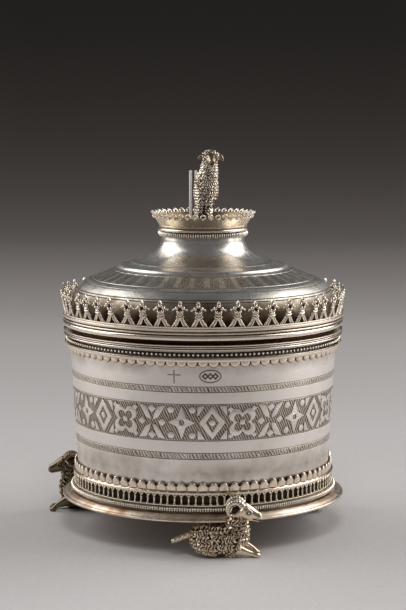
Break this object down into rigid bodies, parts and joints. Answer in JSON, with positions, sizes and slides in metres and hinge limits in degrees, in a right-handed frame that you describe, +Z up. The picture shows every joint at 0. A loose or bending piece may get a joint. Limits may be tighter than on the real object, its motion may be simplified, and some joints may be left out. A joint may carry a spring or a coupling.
{
  "type": "pyx",
  "caption": "Round silver pyx on three couchant ram feet, with a lift-off ogee lid, fleuron cresting, coronet and seated lamb finial.",
  "frame": {"origin": "centre of the underside of the box's floor plate, 16.1 mm above the plane that the rams stand on", "axes": "+Z up along the pyx's axis, the way the lid lifts; the picture looks along +Y, so the front ram is on the -Y side and +X is to the right"},
  "size_m": [0.1204, 0.1164, 0.1488],
  "materials": {
    "silver": "worn, lightly tarnished silver",
    "dark_silver": "silver with a dark brown patina and bright worn edges",
    "gilt_silver": "worn pale gilding on silver"
  },
  "bodies": {
    "box": {"base_flange": "silver", "body_wall": "silver", "body_floor": "silver", "base_milled_wire": "silver", "base_gallery": "gilt_silver", "gallery_ledge": "silver", "base_scallop_band": "silver", "rim_scallop_band": "silver", "rim_lower_moulding": "silver", "rim_pearl_wire": "dark_silver", "rim_cap_ring": "silver", "body_bezel": "silver", "ram_front": "dark_silver", "ram_front_horn_inner": "dark_silver", "ram_front_horn_outer": "dark_silver", "ram_left": "dark_silver", "ram_left_horn_inner": "dark_silver", "ram_left_horn_outer": "dark_silver", "ram_back": "dark_silver", "ram_back_horn_inner": "dark_silver", "ram_back_horn_outer": "dark_silver"},
    "lid": {"lid_dome": "silver", "lid_rim": "silver", "lid_cresting": "silver", "neck_collar": "silver", "neck_milled_wire": "silver", "coronet": "gilt_silver", "coronet_floor": "gilt_silver", "lamb_staff": "silver", "lamb": "silver", "finial_stud": "silver", "finial_nut": "silver"}
  },
  "joints": [
    {"name": "lid_lift", "type": "slide", "parent": "box", "child": "lid", "axis": [0, 0, 1], "range_m": [0, 0.04]}
  ]
}
